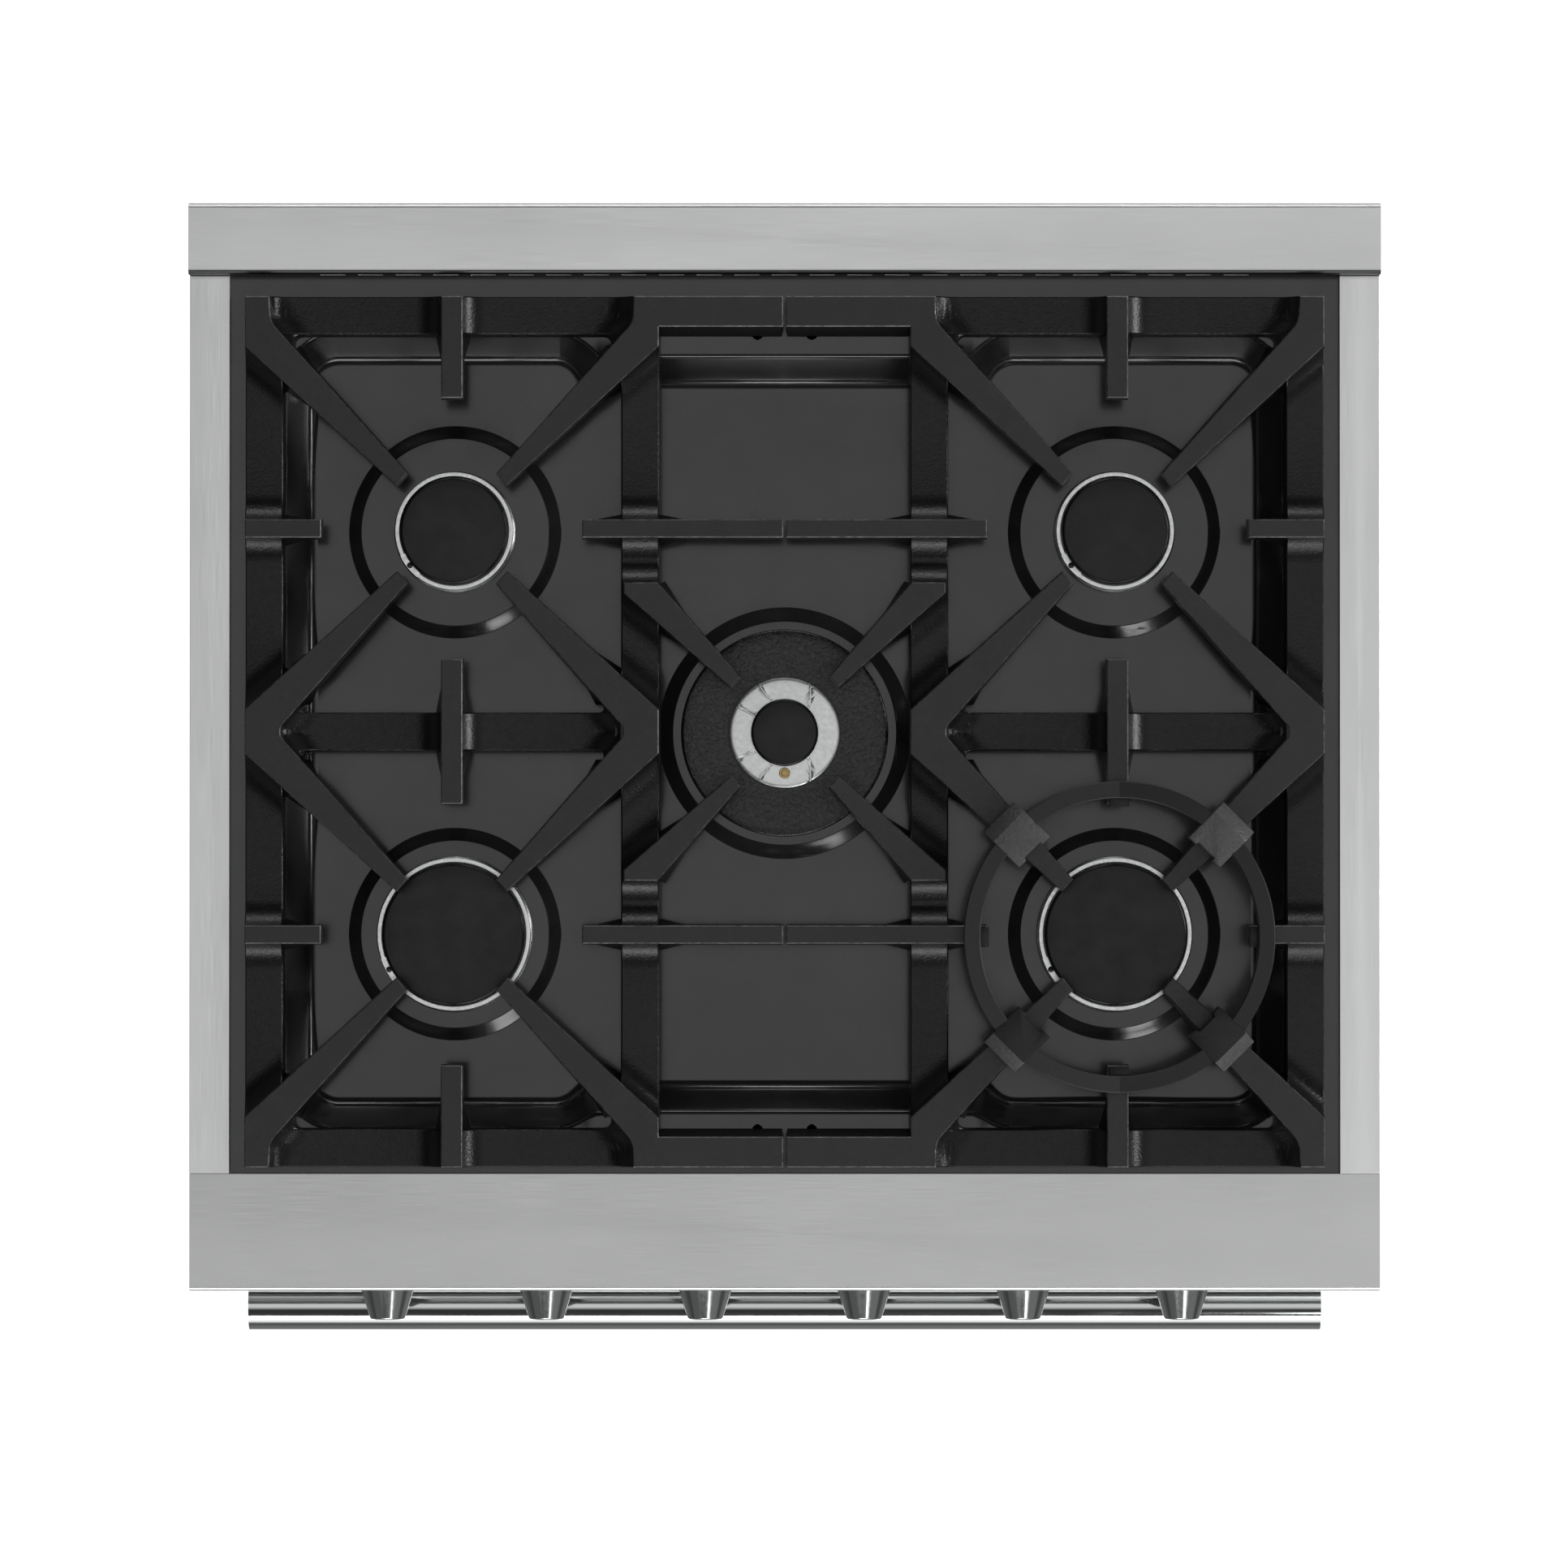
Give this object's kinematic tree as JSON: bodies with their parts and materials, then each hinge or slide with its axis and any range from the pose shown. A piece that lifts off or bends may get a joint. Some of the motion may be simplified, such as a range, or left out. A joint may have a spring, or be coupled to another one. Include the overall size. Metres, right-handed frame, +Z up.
{
  "type": "freestanding gas range",
  "caption": "Freestanding gas range with sealed burners, cast grates, a wok ring, turning push-in knobs and a drop-down oven door.",
  "frame": {"origin": "middle of the overall footprint, on the floor", "axes": "+Z up, -Y towards the cook (front), +X to the right seen from the front"},
  "size_m": [0.759, 0.7236, 0.9603],
  "materials": {
    "brushed_steel": "brushed stainless steel, fine straight grain",
    "polished_steel": "polished stainless steel",
    "zinc_plate": "dull zinc-plated sheet",
    "black_enamel": "glossy black vitreous enamel",
    "textured_enamel": "black enamel with a hammered texture",
    "oven_enamel": "speckled dark oven enamel",
    "cap_enamel": "matte black enamel",
    "cast_iron": "fine cast texture, black enamel coat",
    "aluminium": "satin cast aluminium",
    "brass": "satin brass",
    "ceramic": "unglazed electrode ceramic",
    "glass": "dark tinted oven glass",
    "black_plastic": "moulded bushing",
    "gasket": "woven glass-fibre gasket",
    "insulation": "mineral wool blanket"
  },
  "bodies": {
    "chassis": {"side_panel_left": "brushed_steel", "side_panel_right": "brushed_steel", "back_panel": "zinc_plate", "base_tray": "zinc_plate", "front_frame": "zinc_plate", "kick_panel": "brushed_steel", "legs": "zinc_plate", "front_ledge": "brushed_steel", "control_panel": "brushed_steel", "rear_trim": "brushed_steel", "side_trim_left": "brushed_steel", "side_trim_right": "brushed_steel", "cooktop_pan": "black_enamel", "burner_head_rear_left": "aluminium", "burner_head_rear_right": "aluminium", "burner_head_front_left": "aluminium", "burner_head_front_right": "aluminium", "burner_base_center": "textured_enamel", "burner_head_center": "aluminium", "igniters": "ceramic", "gas_manifold": "zinc_plate", "gas_valves": "brass", "feed_tubes": "zinc_plate", "gas_regulator": "brass", "power_gland": "black_plastic", "oven_liner": "oven_enamel", "oven_insulation": "insulation", "oven_floor": "oven_enamel", "oven_burner": "zinc_plate", "rack_guides": "polished_steel", "door_gasket": "gasket", "hinge_brackets": "zinc_plate"},
    "door": {"door_skin": "brushed_steel", "door_liner": "oven_enamel", "door_glass": "glass", "door_hinge_arms": "zinc_plate", "handle_tube": "polished_steel", "handle_posts": "polished_steel"},
    "left_grate": {"grate_left": "cast_iron"},
    "right_grate": {"grate_right": "cast_iron"},
    "wok_support": {"wok_ring": "cast_iron"},
    "lower_rack": {"oven_rack_lower": "polished_steel"},
    "upper_rack": {"oven_rack_upper": "polished_steel"},
    "cap_rear_left": {"burner_cap_rear_left": "cap_enamel"},
    "cap_rear_right": {"burner_cap_rear_right": "cap_enamel"},
    "cap_front_left": {"burner_cap_front_left": "cap_enamel"},
    "cap_front_right": {"burner_cap_front_right": "cap_enamel"},
    "cap_center": {"burner_cap_center": "cap_enamel"},
    "valve_stem_1": {"spindle_1": "brass"},
    "control_knob_1": {"knob_1": "polished_steel"},
    "valve_stem_2": {"spindle_2": "brass"},
    "control_knob_2": {"knob_2": "polished_steel"},
    "valve_stem_3": {"spindle_3": "brass"},
    "control_knob_3": {"knob_3": "polished_steel"},
    "valve_stem_4": {"spindle_4": "brass"},
    "control_knob_4": {"knob_4": "polished_steel"},
    "valve_stem_5": {"spindle_5": "brass"},
    "control_knob_5": {"knob_5": "polished_steel"},
    "valve_stem_6": {"spindle_6": "brass"},
    "control_knob_6": {"knob_6": "polished_steel"}
  },
  "joints": [
    {"name": "door_hinge", "type": "hinge", "parent": "chassis", "child": "door", "pos_m": [0, -0.2488, 0.236], "axis": [1, 0, 0], "range_deg": [0, 90]},
    {"name": "left_grate_lift", "type": "slide", "parent": "chassis", "child": "left_grate", "axis": [0, 0, 1], "range_m": [0, 0.06]},
    {"name": "right_grate_lift", "type": "slide", "parent": "chassis", "child": "right_grate", "axis": [0, 0, 1], "range_m": [0, 0.06]},
    {"name": "wok_ring_lift", "type": "slide", "parent": "right_grate", "child": "wok_support", "axis": [0, 0, 1], "range_m": [0, 0.05]},
    {"name": "lower_rack_slide", "type": "slide", "parent": "chassis", "child": "lower_rack", "axis": [0, -1, 0], "range_m": [0, 0.016]},
    {"name": "upper_rack_slide", "type": "slide", "parent": "chassis", "child": "upper_rack", "axis": [0, -1, 0], "range_m": [0, 0.016]},
    {"name": "cap_rear_left_lift", "type": "slide", "parent": "chassis", "child": "cap_rear_left", "axis": [0, 0, 1], "range_m": [0, 0.01]},
    {"name": "cap_rear_right_lift", "type": "slide", "parent": "chassis", "child": "cap_rear_right", "axis": [0, 0, 1], "range_m": [0, 0.01]},
    {"name": "cap_front_left_lift", "type": "slide", "parent": "chassis", "child": "cap_front_left", "axis": [0, 0, 1], "range_m": [0, 0.01]},
    {"name": "cap_front_right_lift", "type": "slide", "parent": "chassis", "child": "cap_front_right", "axis": [0, 0, 1], "range_m": [0, 0.01]},
    {"name": "cap_center_lift", "type": "slide", "parent": "chassis", "child": "cap_center", "axis": [0, 0, 1], "range_m": [0, 0.01]},
    {"name": "knob_1_turn", "type": "hinge", "parent": "chassis", "child": "valve_stem_1", "pos_m": [-0.25562, -0.3138, 0.858], "axis": [0, -1, 0], "range_deg": [0, 270]},
    {"name": "knob_1_push", "type": "slide", "parent": "valve_stem_1", "child": "control_knob_1", "axis": [0, 1, 0], "range_m": [0, 0.003], "stiffness_N_per_m": 800, "springref_m": -0.002},
    {"name": "knob_2_turn", "type": "hinge", "parent": "chassis", "child": "valve_stem_2", "pos_m": [-0.15338, -0.3138, 0.858], "axis": [0, -1, 0], "range_deg": [0, 270]},
    {"name": "knob_2_push", "type": "slide", "parent": "valve_stem_2", "child": "control_knob_2", "axis": [0, 1, 0], "range_m": [0, 0.003], "stiffness_N_per_m": 800, "springref_m": -0.002},
    {"name": "knob_3_turn", "type": "hinge", "parent": "chassis", "child": "valve_stem_3", "pos_m": [-0.05112, -0.3138, 0.858], "axis": [0, -1, 0], "range_deg": [0, 270]},
    {"name": "knob_3_push", "type": "slide", "parent": "valve_stem_3", "child": "control_knob_3", "axis": [0, 1, 0], "range_m": [0, 0.003], "stiffness_N_per_m": 800, "springref_m": -0.002},
    {"name": "knob_4_turn", "type": "hinge", "parent": "chassis", "child": "valve_stem_4", "pos_m": [0.05112, -0.3138, 0.858], "axis": [0, -1, 0], "range_deg": [0, 270]},
    {"name": "knob_4_push", "type": "slide", "parent": "valve_stem_4", "child": "control_knob_4", "axis": [0, 1, 0], "range_m": [0, 0.003], "stiffness_N_per_m": 800, "springref_m": -0.002},
    {"name": "knob_5_turn", "type": "hinge", "parent": "chassis", "child": "valve_stem_5", "pos_m": [0.15338, -0.3138, 0.858], "axis": [0, -1, 0], "range_deg": [0, 270]},
    {"name": "knob_5_push", "type": "slide", "parent": "valve_stem_5", "child": "control_knob_5", "axis": [0, 1, 0], "range_m": [0, 0.003], "stiffness_N_per_m": 800, "springref_m": -0.002},
    {"name": "knob_6_turn", "type": "hinge", "parent": "chassis", "child": "valve_stem_6", "pos_m": [0.25562, -0.3138, 0.858], "axis": [0, -1, 0], "range_deg": [0, 270]},
    {"name": "knob_6_push", "type": "slide", "parent": "valve_stem_6", "child": "control_knob_6", "axis": [0, 1, 0], "range_m": [0, 0.003], "stiffness_N_per_m": 800, "springref_m": -0.002}
  ]
}
